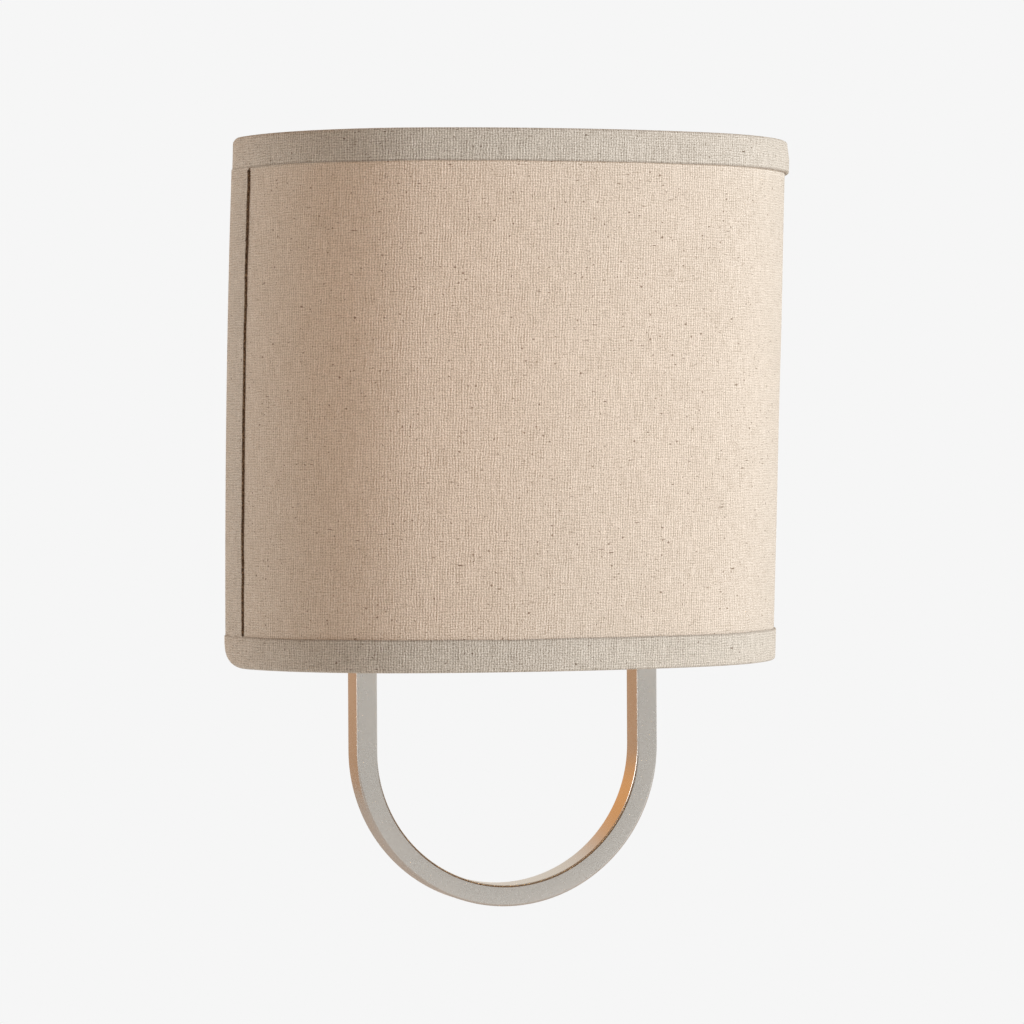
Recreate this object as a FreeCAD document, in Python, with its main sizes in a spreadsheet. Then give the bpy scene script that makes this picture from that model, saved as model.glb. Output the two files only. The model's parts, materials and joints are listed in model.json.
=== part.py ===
import FreeCAD, Part
import os
import re
import sys

import Sketcher
from FreeCAD import Vector

# Wall light with a half-round cloth shade over two candle lamps and a bent flat-bar loop.
# Millimetres. The wall is the plane Y = 0, the room is on its -Y side and Z points up.
# The origin is the centre of the wall box, which is also the middle of the shade's height.

SIZES = {
    # cloth shade
    "shade_width": 249.2,       # across the cloth at the wall side
    "shade_height": 228.6,      # over both rolled trims
    "side_radius": 86.0,        # plan radius of each side, the front arc follows from it
    "front_swell": 5.8,         # the panel is this much deeper than its sides' radius
    "wall_gap": 6.0,            # the shade's rear edge clears the wall by this
    "fabric_wall": 0.6,
    "liner_wall": 0.6,
    "trim_wall": 0.9,
    "trim_height": 14.0,
    "trim_turn_in": 8.0,
    "wire_size": 3.0,
    "jog_radius": 8.0,
    "jog_gap": 1.6,
    # bent loop
    "loop_width": 139.6,
    "loop_face": 9.4,
    "loop_depth": 14.8,
    "loop_drop": 39.0,          # bend centre below the shade
    "loop_rise": 62.0,          # legs reach this far above the box centre
    "loop_edge": 0.6,
    # pan and crossbar
    "pan_depth": 19.0,
    "pan_wall": 1.2,
    "pan_corner": 7.0,
    "pan_bevel": 1.4,
    "pan_above_stud": 7.5,
    "pan_drop": 71.0,
    "bar_length": 112.0,
    "bar_height": 25.0,
    "bar_wall": 2.0,
    "bar_corner": 4.0,
    "slot_spacing": 88.9,
    "slot_length": 12.0,
    "slot_width": 5.0,
    "centre_hole": 10.2,
    "stud_size": 4.2,
    "stud_spacing": 56.0,
    "stud_clearance": 0.3,
    "thread_gap": 0.05,
    "nut_flats": 8.0,
    "nut_height": 4.5,
    "nut_crown": 7.0,
    "nut_crown_height": 3.0,
    "ground_offset": 16.0,
    "bush_flange": 14.0,
    "bush_body": 10.0,
    "bush_bore": 7.0,
    "bush_tail": 3.0,
    "bush_lip": 1.2,
    "bush_drop": 30.0,
    "screw_size": 4.0,
    "screw_flats": 7.0,
    "screw_head_height": 2.4,
    "screw_bite": 6.0,
    "loop_screw_low": 24.0,
    "loop_screw_high": 52.0,
    # lamp holders
    "shelf_drop": 64.0,
    "bracket_wall": 1.5,
    "bracket_end": 16.0,        # past each lamp's centre
    "bracket_flange": 20.0,
    "bracket_bend": 2.0,
    "bracket_lip": 14.0,
    "bracket_corner": 12.0,
    "bracket_screw_spacing": 50.0,
    "bracket_screw_bite": 3.0,
    "lamp_spacing": 92.0,
    "lamp_out": 56.0,
    "nipple_size": 9.6,
    "nipple_bore": 6.4,
    "nipple_tail": 1.2,
    "nipple_head": 3.0,
    "locknut_flats": 14.0,
    "locknut_height": 3.0,
    "hickey_wall": 1.2,
    "hickey_width": 13.0,
    "hickey_reach": 6.2,
    "hickey_back": 6.5,
    "hickey_height": 34.0,
    "socket_size": 19.2,
    "socket_height": 26.0,
    "socket_floor": 4.0,
    "shell_size": 13.4,
    "shell_wall": 0.4,
    "shell_height": 20.0,
    "rivet_radius": 1.4,
    "rivet_head": 2.6,
    "rivet_head_height": 0.8,
    "contact_disc": 3.6,
    "contact_disc_height": 0.6,
    "contact_button": 2.0,
    "contact_button_height": 1.6,
    "sleeve_size": 22.4,
    "sleeve_wall": 0.9,
    # lamps
    "lamp_seat": 0.3,
    "tip_radius": 2.0,
    "tip_height": 1.4,
    "insulator_height": 2.0,
    "insulator_plug": 1.0,
    "cap_radius": 5.95,
    "cap_wall": 0.3,
    "cap_height": 15.6,
    "neck_radius": 5.4,
    "neck_length": 10.0,
    "neck_rise": 2.0,
    "shoulder_rise": 4.0,
    "bulb_radius": 9.5,
    "bulb_length": 54.0,
    "bulb_slope": 4.5,
    "glass_wall": 0.8,
    "stem_height": 20.0,
    "stem_radius": 2.2,
    "filament_radius": 0.9,
    "filament_length": 24.0,
    # shade fixing
    "shade_stud_spacing": 80.0,
    "shade_stud_drop": 17.5,    # stud centre below the shade's top
    "shade_stud_head": 7.2,
    "shade_stud_head_height": 1.4,
    "shade_stud_spare": 2.0,
    "hanger_wall": 1.5,
    "hanger_width": 112.0,
    "hanger_lap": 7.0,          # below the stud centre
    "hanger_bend": 2.0,
    "hanger_slot": 4.8,
    "seat_gap": 0.3,
    "thumb_size": 12.0,
    "thumb_height": 5.0,
    "thumb_collar": 8.0,
    "thumb_collar_height": 2.0,
    "thumb_play": 0.06,
    "knurl_depth": 0.6,
    "knurl_count": 18,
}

document = FreeCAD.newDocument("wall_light")
sheet = document.addObject("Spreadsheet::Sheet", "sizes")
for row, (size_name, size) in enumerate(SIZES.items(), start=1):
    sheet.set(f"A{row}", size_name)
    sheet.set(f"B{row}", str(size))
    sheet.setAlias(f"B{row}", size_name)
document.recompute()

WORD = re.compile(r"[a-z][a-z_]*[a-z]")
WIRE_SIDES = 8                  # the wire's round section is drawn as an octagon

# Places that several pieces share, written in the sheet's names.
WIRE_RADIUS = "(wire_size / 2)"
PANEL_REAR = "(-wall_gap - trim_wall - wire_size / 2)"
PANEL_END = "(shade_height / 2 - trim_wall - wire_size / 2)"
WIRE_INSET = "(fabric_wall + liner_wall + wire_size / 2)"
STACK = "(fabric_wall + liner_wall + wire_size)"
SIDE_CENTRE = "(shade_width / 2 - side_radius)"
PANEL_DEPTH = "(side_radius + front_swell)"
FRONT_RADIUS = f"(({SIDE_CENTRE}^2 + {PANEL_DEPTH}^2 - side_radius^2) / (2 * front_swell))"
FRONT_CENTRE = f"({PANEL_REAR} - {PANEL_DEPTH} + {FRONT_RADIUS})"
FRONT_TURN = f"asin({SIDE_CENTRE} / ({FRONT_RADIUS} - side_radius))"
UPRIGHT_X = f"(shade_width / 2 - {WIRE_INSET})"
FOLD_OUT = f"(trim_wall + {WIRE_RADIUS})"
FACET = f"tan({180 / WIRE_SIDES} deg)"
FOLD_IN = f"({WIRE_RADIUS} * (1 - {FACET}))"
FOLD_SHOULDER = f"({FOLD_IN} - trim_wall * {FACET})"
FOLD_SIDE = f"(trim_wall + {FOLD_IN})"
LOOP_HALF = "(loop_width / 2)"
LOOP_INNER = "(loop_width / 2 - loop_face)"
LOOP_CENTRE = "(-shade_height / 2 - loop_drop)"
SHADE_STUD_Z = "(shade_height / 2 - shade_stud_drop)"
PAN_TOP = f"({SHADE_STUD_Z} + pan_above_stud)"
SHELF_TOP = "(-shelf_drop)"
BRACKET_SCREW_Z = "(-shelf_drop + bracket_flange / 2)"
STUD_RADIUS = "(stud_size / 2)"
SOCKET_BASE = f"({SHELF_TOP} + hickey_height)"
SLEEVE_HEIGHT = "(hickey_height + socket_height)"
LAMP_BASE = (f"({SOCKET_BASE} + socket_floor + contact_disc_height + contact_button_height"
             " + lamp_seat)")
CAP_FOOT = "(tip_height + insulator_height)"
CAP_TOP = "(tip_height + insulator_height + cap_height)"
HANGER_FACE = "(pan_depth + seat_gap)"
THUMB_SEAT = "(pan_depth + 2 * seat_gap + hanger_wall)"


def tie(text):
    """An expression on the sheet from one in its plain names."""
    return WORD.sub(lambda m: f"sizes.{m[0]}" if m[0] in SIZES else m[0], str(text))


def number(text):
    found = sheet.evalExpression(tie(text))
    return float(getattr(found, "Value", found))


def new_body(label, x="0", y="0", z="0"):
    body = document.addObject("PartDesign::Body", label)
    body.Label = label
    for axis, text in zip("xyz", (x, y, z)):
        if text != "0":
            body.setExpression(f"Placement.Base.{axis}", tie(text))
    return body


def new_sketch(body, plane, lift="0"):
    """A sketch on one of the body's own planes, lifted along that plane's normal."""
    sketch = body.newObject("Sketcher::SketchObject", f"{body.Name}_{plane}_sketch")
    origin = [o for o in body.Origin.OriginFeatures if o.Role == f"{plane}_Plane"][0]
    sketch.AttachmentSupport = [(origin, "")]
    sketch.MapMode = "FlatFace"
    if lift != "0":
        sketch.setExpression("AttachmentOffset.Base.z", tie(lift))
    return sketch


def fix(sketch, geometry, end, x, y):
    """Ties one point of a sketch to its place on the sheet."""
    for kind, text in (("DistanceX", x), ("DistanceY", y)):
        made = sketch.addConstraint(
            Sketcher.Constraint(kind, -1, 1, geometry, end, number(text)))
        sketch.setExpression(f"Constraints[{made}]", tie(text))


def draw(sketch, corners, closed=True):
    """Straight runs and arcs through the corners. A corner is (x, y), or (x, y, radius, turn)
    where an arc leaves it, turning left (+1) or right (-1)."""
    spots = [Vector(number(c[0]), number(c[1]), 0) for c in corners]
    runs = len(corners) if closed else len(corners) - 1
    edges = []
    for index in range(runs):
        here, there = spots[index], spots[(index + 1) % len(spots)]
        corner = corners[index]
        if len(corner) == 2:
            made = sketch.addGeometry(Part.LineSegment(here, there), False)
            edges.append((made, 1, 2))
            continue
        radius, turn = number(corner[2]), corner[3]
        chord = there - here
        side = Vector(-chord.y, chord.x, 0).normalize() * turn
        rise = max(radius ** 2 - (chord.Length / 2) ** 2, 0) ** 0.5
        centre = here + chord * 0.5 + side * rise
        first, last = (here, there) if turn > 0 else (there, here)
        begin = Vector(1, 0, 0).getAngle(first - centre)
        begin = begin if first.y >= centre.y else -begin
        end = Vector(1, 0, 0).getAngle(last - centre)
        end = end if last.y >= centre.y else -end
        circle = Part.Circle(centre, Vector(0, 0, 1), radius)
        made = sketch.addGeometry(Part.ArcOfCircle(circle, begin, end), False)
        edges.append((made, 1, 2) if turn > 0 else (made, 2, 1))
        held = sketch.addConstraint(Sketcher.Constraint("Radius", made, radius))
        sketch.setExpression(f"Constraints[{held}]", tie(corner[2]))
    for index, (made, start, stop) in enumerate(edges):
        fix(sketch, made, start, corners[index][0], corners[index][1])
        if closed or index + 1 < runs:
            after = edges[(index + 1) % runs]
            sketch.addConstraint(Sketcher.Constraint("Coincident", made, stop, after[0], after[1]))
        else:
            fix(sketch, made, stop, corners[-1][0], corners[-1][1])
    return sketch


def ring(sketch, x, y, radius):
    circle = Part.Circle(Vector(number(x), number(y), 0), Vector(0, 0, 1), number(radius))
    made = sketch.addGeometry(circle, False)
    fix(sketch, made, 3, x, y)
    held = sketch.addConstraint(Sketcher.Constraint("Radius", made, number(radius)))
    sketch.setExpression(f"Constraints[{held}]", tie(radius))
    return sketch


def feature(body, kind, sketch, **settings):
    """A feature on a sketch. Texts in the settings are sizes, the rest is set as it is."""
    made = body.newObject(f"PartDesign::{kind}", f"{body.Name}_{kind}")
    made.Profile = sketch
    for name, value in settings.items():
        if isinstance(value, str) and name not in ("Type", "SideType"):
            made.setExpression(name, tie(value))
        else:
            setattr(made, name, value)
    return made


def pad(body, sketch, length, both_ways=False):
    return feature(body, "Pad", sketch, Length=length,
                   SideType="Symmetric" if both_ways else "One side")


def cut_through(body, sketch, both_ways=False):
    return feature(body, "Pocket", sketch, Type="ThroughAll",
                   SideType="Symmetric" if both_ways else "One side")


def turned(body, sketch, axis="V_Axis"):
    return feature(body, "Revolution", sketch, ReferenceAxis=(sketch, [axis]), Angle=360)


def bend(body, sketch, axis_at, angle, **settings):
    """Turns a section about an upright line at a place across its sketch."""
    spots = [(axis_at, "0"), (axis_at, "shade_height")]
    low, high = (Vector(number(x), number(y), 0) for x, y in spots)
    made = sketch.addGeometry(Part.LineSegment(low, high), True)
    fix(sketch, made, 1, *spots[0])
    fix(sketch, made, 2, *spots[1])
    return feature(body, "Revolution", sketch, ReferenceAxis=(sketch, ["Axis0"]), Angle=angle,
                   **settings)


def edges_where(base, test):
    """Names of a feature's edges that pass the test."""
    document.recompute()
    return [f"Edge{n}" for n, edge in enumerate(base.Shape.Edges, start=1) if test(edge)]


def eased(body, base, kind, names, size_property, size_text):
    made = body.newObject(f"PartDesign::{kind}", f"{body.Name}_{kind}")
    made.Base = (base, names)
    made.setExpression(size_property, tie(size_text))
    return made


def with_mirror(label, piece, normal=(1, 0, 0), base_z="0"):
    """The piece and its mirror image, as separate solids in one node."""
    image = document.addObject("Part::Mirroring", f"{label}_image")
    image.Source = piece
    image.Normal = Vector(*normal)
    if base_z != "0":
        image.setExpression("Base.z", tie(base_z))
    both = document.addObject("Part::Compound", label)
    both.Label = label
    both.Links = [piece, image]
    return both


def hexagon(flats, x="0", y="0"):
    return [(f"{x} + {flats} / sqrt(3) * cos({60 * n} deg)",
             f"{y} + {flats} / sqrt(3) * sin({60 * n} deg)") for n in range(6)]


def rounded(half_x, low, high, radius):
    """A rectangle about x = 0 with round corners."""
    return [
        (f"-{half_x} + {radius}", low), (f"{half_x} - {radius}", low, radius, 1),
        (half_x, f"{low} + {radius}"), (half_x, f"{high} - {radius}", radius, 1),
        (f"{half_x} - {radius}", high), (f"-{half_x} + {radius}", high, radius, 1),
        (f"-{half_x}", f"{high} - {radius}"), (f"-{half_x}", f"{low} + {radius}", radius, 1),
    ]


def slot(x, y, length, width):
    run, half = f"({length} / 2 - {width} / 2)", f"({width} / 2)"
    return [
        (f"{x} - {run}", f"{y} - {half}"), (f"{x} + {run}", f"{y} - {half}", half, 1),
        (f"{x} + {run} + {half}", y, half, 1), (f"{x} + {run}", f"{y} + {half}"),
        (f"{x} - {run}", f"{y} + {half}", half, 1), (f"{x} - {run} - {half}", y, half, 1),
    ]


def lathe(label, outline, axis="Z", **place):
    """A turned piece. The outline's points are (radius, place along the axis)."""
    body = new_body(label, **place)
    plane = {"Z": "XZ", "Y": "XY"}[axis]
    turned(body, draw(new_sketch(body, plane), outline))
    return body


# ---------------------------------------------------------------- cloth shade

def plan(outward, backwards=False):
    """The shade's three-arc plan, moved outward by an amount, from one rear edge to the other."""
    side, front = f"(side_radius + {outward})", f"({FRONT_RADIUS} + {outward})"
    share = f"({front} / ({FRONT_RADIUS} - side_radius))"
    meet_x = f"({SIDE_CENTRE} * {share})"
    meet_y = f"({FRONT_CENTRE} - ({FRONT_RADIUS} - {PANEL_DEPTH}) * {share})"
    half = f"(shade_width / 2 + {outward})"
    turn, near = (-1, 1) if backwards else (1, -1)
    return [
        (f"{near} * {half}", PANEL_REAR, side, turn), (f"{near} * {meet_x}", meet_y, front, turn),
        (f"{-near} * {meet_x}", meet_y, side, turn), (f"{-near} * {half}", PANEL_REAR),
    ]


def panel(label, outer, inner):
    """One layer of the shade's wall, between two offsets of the plan."""
    body = new_body(label)
    sketch = draw(new_sketch(body, "XY"), plan(outer) + plan(inner, backwards=True))
    pad(body, sketch, f"2 * {PANEL_END}", both_ways=True)
    return body


def round_plan(body, section):
    """Turns a section round the plan's three arcs. It is drawn by section(sketch, across),
    where across(inward) is the place that lies inward of the cloth's face."""
    flanks = []
    front = new_sketch(body, "YZ")
    section(front, lambda inward: f"({PANEL_REAR} - {PANEL_DEPTH} + {inward})")
    bend(body, front, FRONT_CENTRE, f"2 * {FRONT_TURN}", Midplane=True)
    for side in (-1, 1):
        flank = new_sketch(body, "XZ", lift=f"-{PANEL_REAR}")
        section(flank, lambda inward: f"({side} * (shade_width / 2 - {inward}))")
        bend(body, flank, f"({side} * {SIDE_CENTRE})", f"90 deg - {FRONT_TURN}", Reversed=side > 0)
        flanks.append(flank)
    return flanks


def edge_trim(label, up):
    """Folded cloth strip along the top (up = 1) or bottom (up = -1), rolled over the wire
    and notched inside for the rear wire."""
    body = new_body(label)

    def folded(sketch, across):
        corners = [
            ("(-trim_wall)", "trim_height"), ("(-trim_wall)", FOLD_OUT), (FOLD_SHOULDER, "0"),
            (f"({STACK} - {FOLD_SHOULDER})", "0"),
            (f"({STACK} + trim_wall)", f"{FOLD_OUT} * (1 - {FACET})"),
            (f"({STACK} + trim_wall)", "trim_turn_in"), (STACK, "trim_turn_in"),
            (STACK, FOLD_SIDE), (f"({STACK} - {FOLD_IN})", "trim_wall"),
            ("0", "trim_wall"), ("0", "trim_height"),
        ]
        draw(sketch, [(across(inward), f"{up} * (shade_height / 2 - {down})")
                      for inward, down in corners])

    for flank in round_plan(body, folded):
        feature(body, "Pad", flank, Length=FOLD_OUT, Reversed=True)
    notch = new_sketch(body, "XY")
    for side in (-1, 1):
        near = f"{side} * (shade_width / 2 - {STACK})"
        far = f"{side} * (shade_width / 2 - {STACK} - 2 * trim_wall)"
        deep = f"{PANEL_REAR} - {FOLD_OUT}"
        draw(notch, [(near, "0"), (far, "0"), (far, deep), (near, deep)])
    cut_through(body, notch, both_ways=True)
    return body


def side_trim(label, side):
    """Folded cloth strip up one rear edge (side = -1 left, 1 right), rolled over the upright."""
    body = new_body(label)
    lap = f"(trim_height - trim_wall - {WIRE_RADIUS})"
    turn_in = f"(trim_turn_in - trim_wall - {WIRE_RADIUS})"

    def rear(inward, forward):
        return (f"{side} * (shade_width / 2 - {inward})", f"-wall_gap - {forward}")

    def along(inward, reach, *turn):
        angle = f"({reach} / side_radius * 180 / pi * 1 deg)"
        radius = f"(side_radius - {inward})"
        return (f"{side} * ({SIDE_CENTRE} + {radius} * cos({angle}))",
                f"{PANEL_REAR} - {radius} * sin({angle})", *turn)

    inner = f"({STACK} + trim_wall)"
    outline = [
        (*rear("(-trim_wall)", FOLD_OUT), "(side_radius + trim_wall)", -side),
        along("(-trim_wall)", lap),
        along("0", lap, "side_radius", side),
        rear("0", FOLD_OUT),
        rear("0", "trim_wall"),
        rear(f"({STACK} - {FOLD_IN})", "trim_wall"),
        rear(STACK, FOLD_SIDE),
        (*rear(STACK, FOLD_OUT), f"(side_radius - {STACK})", -side),
        along(STACK, turn_in),
        along(inner, turn_in, f"(side_radius - {inner})", side),
        rear(inner, FOLD_OUT),
        rear(inner, f"{FOLD_OUT} * (1 - {FACET})"),
        rear(f"({STACK} - {FOLD_SHOULDER})", "0"),
        rear(FOLD_SHOULDER, "0"),
    ]
    sketch = draw(new_sketch(body, "XY"), outline)
    pad(body, sketch, "shade_height - 2 * trim_height", both_ways=True)
    return body


def wire_section(sketch, x, y):
    """The wire's section, drawn as a many-sided ring so that its bends stay light."""
    reach = f"({WIRE_RADIUS} / cos({180 / WIRE_SIDES} deg))"
    turns = [(n + 0.5) * 360 / WIRE_SIDES for n in range(WIRE_SIDES)]
    return draw(sketch, [(f"{x} + {reach} * cos({turn} deg)", f"{y} + {reach} * sin({turn} deg)")
                         for turn in turns])


def front_wire(label, up):
    """The bent front wire at the top or bottom of the frame."""
    body = new_body(label)
    for flank in round_plan(body, lambda sketch, across: wire_section(
            sketch, across(WIRE_INSET), f"({up} * {PANEL_END})")):
        feature(body, "Pad", flank, Length=WIRE_RADIUS, Reversed=True)
    return body


def top_rear_wire():
    """Straight wire butted between the front wire's two ends."""
    body = new_body("top_rear_wire")
    section = wire_section(new_sketch(body, "YZ"), PANEL_REAR, PANEL_END)
    pad(body, section, f"2 * {UPRIGHT_X} - wire_size", both_ways=True)
    return body


def bottom_rear_wire():
    """Steps forward round the loop's legs by two pairs of tangent bends."""
    body = new_body("bottom_rear_wire")
    level = f"(-{PANEL_END})"
    front_y = f"(-loop_depth - jog_gap - {WIRE_RADIUS})"
    step = f"({PANEL_REAR} - {front_y})"
    run = f"sqrt(4 * jog_radius * {step} - {step}^2)"
    turn = f"acos(1 - {step} / (2 * jog_radius))"
    inner_x, outer_x = f"({LOOP_HALF} + jog_gap)", f"({LOOP_HALF} + jog_gap + {run})"
    middle = wire_section(new_sketch(body, "YZ"), front_y, level)
    pad(body, middle, f"2 * {inner_x}", both_ways=True)
    for side in (-1, 1):
        inner = wire_section(new_sketch(body, "YZ", f"{side} * {inner_x}"), front_y, level)
        bend(body, inner, f"({front_y} + jog_radius)", turn, Reversed=side < 0)
        outer = wire_section(new_sketch(body, "YZ", f"{side} * {outer_x}"), PANEL_REAR, level)
        bend(body, outer, f"({PANEL_REAR} - jog_radius)", turn, Reversed=side < 0)
        feature(body, "Pad", outer, Length=f"{UPRIGHT_X} - {WIRE_RADIUS} - {outer_x}",
                Reversed=side < 0)
    return body


def upright_wires():
    body = new_body("upright_wire", x=UPRIGHT_X, y=PANEL_REAR)
    section = wire_section(new_sketch(body, "XY"), "0", "0")
    pad(body, section, f"2 * {PANEL_END} - wire_size", both_ways=True)
    return with_mirror("upright_wires", body)


def shade_hanger():
    """Bent plate under the top rear wire, with two slots that drop over the shade studs."""
    body = new_body("shade_hanger")
    top = f"({PANEL_END} - {WIRE_RADIUS})"
    foot = f"({SHADE_STUD_Z} - hanger_lap)"
    back = f"({PANEL_REAR} + {WIRE_RADIUS})"
    inner, outer = "hanger_bend", "(hanger_bend + hanger_wall)"
    outline = [
        (back, top),
        (f"-{HANGER_FACE} - hanger_wall + {outer}", top, outer, 1),
        (f"-{HANGER_FACE} - hanger_wall", f"{top} - {outer}"),
        (f"-{HANGER_FACE} - hanger_wall", foot),
        (f"-{HANGER_FACE}", foot),
        (f"-{HANGER_FACE}", f"{top} - hanger_wall - {inner}", inner, -1),
        (f"-{HANGER_FACE} + {inner}", f"{top} - hanger_wall"),
        (back, f"{top} - hanger_wall"),
    ]
    pad(body, draw(new_sketch(body, "YZ"), outline), "hanger_width", both_ways=True)
    half, below = "(hanger_slot / 2)", f"({foot} - hanger_slot)"
    openings = new_sketch(body, "XZ")
    for side in (-1, 1):
        x = f"({side} * shade_stud_spacing / 2)"
        draw(openings, [
            (f"{x} - {half}", below), (f"{x} + {half}", below),
            (f"{x} + {half}", SHADE_STUD_Z, half, 1),
            (x, f"{SHADE_STUD_Z} + {half}", half, 1),
            (f"{x} - {half}", SHADE_STUD_Z),
        ])
    cut_through(body, openings, both_ways=True)
    return body


def shade():
    return [
        panel("shade_fabric", "0", "(-fabric_wall)"),
        panel("shade_liner", "(-fabric_wall)", "(-fabric_wall - liner_wall)"),
        edge_trim("top_trim", 1), edge_trim("bottom_trim", -1),
        side_trim("left_trim", -1), side_trim("right_trim", 1),
        front_wire("top_front_wire", 1), front_wire("bottom_front_wire", -1),
        top_rear_wire(), bottom_rear_wire(), upright_wires(), shade_hanger(),
    ]


# ---------------------------------------------------------------- wall plate and loop

def mounting_crossbar():
    body = new_body("mounting_crossbar")
    sketch = new_sketch(body, "XZ")
    draw(sketch, rounded("(bar_length / 2)", "(-bar_height / 2)", "(bar_height / 2)", "bar_corner"))
    ring(sketch, "0", "0", "centre_hole / 2")
    for side in (-1, 1):
        draw(sketch, slot(f"({side} * slot_spacing / 2)", "0", "slot_length", "slot_width"))
        ring(sketch, f"{side} * stud_spacing / 2", "0", f"{STUD_RADIUS} + thread_gap")
    ring(sketch, "ground_offset", "0", "screw_size / 2 + thread_gap")
    pad(body, sketch, "bar_wall")
    return body


def pan_studs():
    """Two studs in the crossbar, which stand out through the pan's face."""
    body = new_body("pan_stud", x="stud_spacing / 2")
    section = ring(new_sketch(body, "XZ"), "0", "0", STUD_RADIUS)
    pad(body, section, "pan_depth + nut_height")
    return with_mirror("pan_studs", body)


def cap_nuts():
    """Closed nuts: a hexagon with a flat round crown."""
    body = new_body("cap_nut", x="stud_spacing / 2", y="-pan_depth")
    pad(body, draw(new_sketch(body, "XZ"), hexagon("nut_flats")), "nut_height")
    crown = ring(new_sketch(body, "XZ", lift="nut_height"), "0", "0", "nut_crown / 2")
    pad(body, crown, "nut_crown_height")
    bore = ring(new_sketch(body, "XZ"), "0", "0", f"{STUD_RADIUS} + thread_gap")
    feature(body, "Pocket", bore, Length="nut_height + thread_gap", Reversed=True)
    return with_mirror("cap_nuts", body)


def back_pan():
    body = new_body("back_pan")
    half = LOOP_INNER
    base = pad(body, draw(new_sketch(body, "XZ"),
                          rounded(half, "(-pan_drop)", PAN_TOP, "pan_corner")), "pan_depth")
    front = number("-pan_depth")
    rim = edges_where(base, lambda e: all(abs(v.Y - front) < 1e-4 for v in e.Vertexes))
    eased(body, base, "Chamfer", rim, "Size", "pan_bevel")
    hollow = draw(new_sketch(body, "XZ"), rounded(
        f"({half} - pan_wall)", "(-pan_drop + pan_wall)", f"({PAN_TOP} - pan_wall)",
        "(pan_corner - pan_wall)"))
    feature(body, "Pocket", hollow, Length="pan_depth - pan_wall", Reversed=True)
    holes = new_sketch(body, "XZ", lift="pan_depth")
    for side in (-1, 1):
        ring(holes, f"{side} * stud_spacing / 2", "0", f"{STUD_RADIUS} + stud_clearance")
        ring(holes, f"{side} * shade_stud_spacing / 2", SHADE_STUD_Z, f"{STUD_RADIUS} + thread_gap")
        ring(holes, f"{side} * bracket_screw_spacing / 2", BRACKET_SCREW_Z,
             "screw_size / 2 + thread_gap")
    ring(holes, "0", "-bush_drop", "bush_body / 2 + thread_gap")
    cut_through(body, holes)
    flank = new_sketch(body, "YZ")
    for height in ("loop_screw_low", "loop_screw_high"):
        ring(flank, "-loop_depth / 2", height, "screw_size / 2 + thread_gap")
    cut_through(body, flank, both_ways=True)
    return body


def loop_bar():
    """Rectangular bar bent flat against the wall into a U, tapped for the pan's side screws."""
    body = new_body("loop_bar")

    def leg(reach, turn):
        return [(f"-{reach}", LOOP_CENTRE, reach, turn),
                ("0", f"{LOOP_CENTRE} - {reach}", reach, turn)]

    outline = [(f"-{LOOP_HALF}", "loop_rise"), *leg(LOOP_HALF, 1), (LOOP_HALF, LOOP_CENTRE),
               (LOOP_HALF, "loop_rise"), (LOOP_INNER, "loop_rise"),
               (LOOP_INNER, LOOP_CENTRE, LOOP_INNER, -1),
               ("0", f"{LOOP_CENTRE} - {LOOP_INNER}", LOOP_INNER, -1),
               (f"-{LOOP_INNER}", LOOP_CENTRE), (f"-{LOOP_INNER}", "loop_rise")]
    base = pad(body, draw(new_sketch(body, "XZ"), outline), "loop_depth")
    front = number("-loop_depth")
    rims = edges_where(base, lambda e: all(abs(v.Y - front) < 1e-4 for v in e.Vertexes)
                       or all(abs(v.Y) < 1e-4 for v in e.Vertexes))
    eased(body, base, "Chamfer", rims, "Size", "loop_edge")
    taps = new_sketch(body, "YZ")
    for height in ("loop_screw_low", "loop_screw_high"):
        ring(taps, "-loop_depth / 2", height, "screw_size / 2 + thread_gap")
    feature(body, "Pocket", taps, Length=f"2 * ({LOOP_INNER} + screw_bite)", SideType="Symmetric")
    return body


def screw(label, grip, **place):
    """Hexagon-head screw pointing along +Y, with its head's seat at the origin."""
    body = new_body(label, **place)
    pad(body, draw(new_sketch(body, "XZ"), hexagon("screw_flats")), "screw_head_height")
    shank = ring(new_sketch(body, "XZ"), "0", "0", "screw_size / 2")
    feature(body, "Pad", shank, Length=grip, Reversed=True)
    return body


def loop_screws():
    """Four screws through the pan's sides into the loop's legs."""
    body = screw("loop_screw", "(pan_wall + screw_bite - thread_gap)",
                 x=f"{LOOP_INNER} - pan_wall", y="-loop_depth / 2", z="loop_screw_low")
    body.Placement.Rotation = FreeCAD.Rotation(Vector(0, 0, 1), -90)
    pair = with_mirror("loop_screw_pair", body)
    return with_mirror("loop_screws", pair, normal=(0, 0, 1),
                       base_z="(loop_screw_low + loop_screw_high) / 2")


def ground_screw():
    return screw("ground_screw", "bar_wall", x="ground_offset", y="-bar_wall")


def lead_bushing():
    lip, body_radius, bore = "(bush_flange / 2)", "(bush_body / 2)", "(bush_bore / 2)"
    return lathe("lead_bushing", [
        (bore, "-bush_lip"), (lip, "-bush_lip"), (lip, "0"), (body_radius, "0"),
        (body_radius, "pan_wall + bush_tail"), (bore, "pan_wall + bush_tail"),
    ], axis="Y", y="-pan_depth", z="-bush_drop")


def wall_plate():
    return [mounting_crossbar(), pan_studs(), cap_nuts(), ground_screw(), back_pan(),
            lead_bushing(), loop_bar(), loop_screws()]


# ---------------------------------------------------------------- lamp holders

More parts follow.
